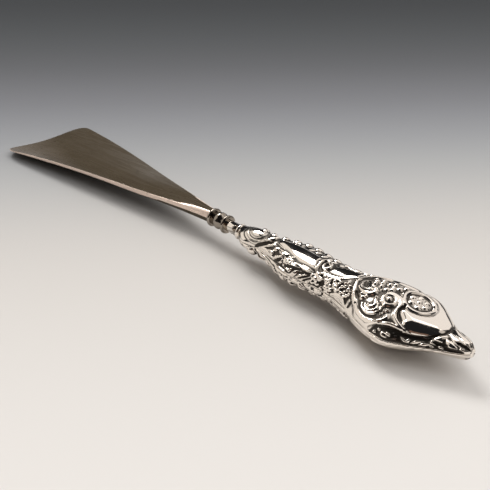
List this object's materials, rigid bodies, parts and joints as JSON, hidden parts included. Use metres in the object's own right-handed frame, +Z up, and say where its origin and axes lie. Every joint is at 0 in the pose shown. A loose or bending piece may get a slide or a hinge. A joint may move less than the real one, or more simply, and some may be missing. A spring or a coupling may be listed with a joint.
{
  "type": "shoehorn",
  "caption": "Shoehorn with a hollowed steel blade, turned bolster and a loaded handle of two die-stamped silver halves with scroll relief.",
  "frame": {"origin": "on the surface it lies on, under the middle of its length and width", "axes": "+X along the handle towards the finial, -X towards the end of the blade, +Z up out of the trough"},
  "size_m": [0.2118, 0.0354, 0.0162],
  "materials": {
    "blade_steel": "polished tool steel, darkened by age",
    "bolster_steel": "turned and polished steel, dark in the coves",
    "silver": "polished silver with dark patina in the recesses",
    "pitch": "cast pitch filling, sealed inside"
  },
  "bodies": {
    "root": {"horn_blade": "blade_steel", "bolster": "bolster_steel", "neck_ferrule": "silver", "front_shell": "silver", "back_shell": "silver", "pitch_core": "pitch"}
  },
  "joints": []
}
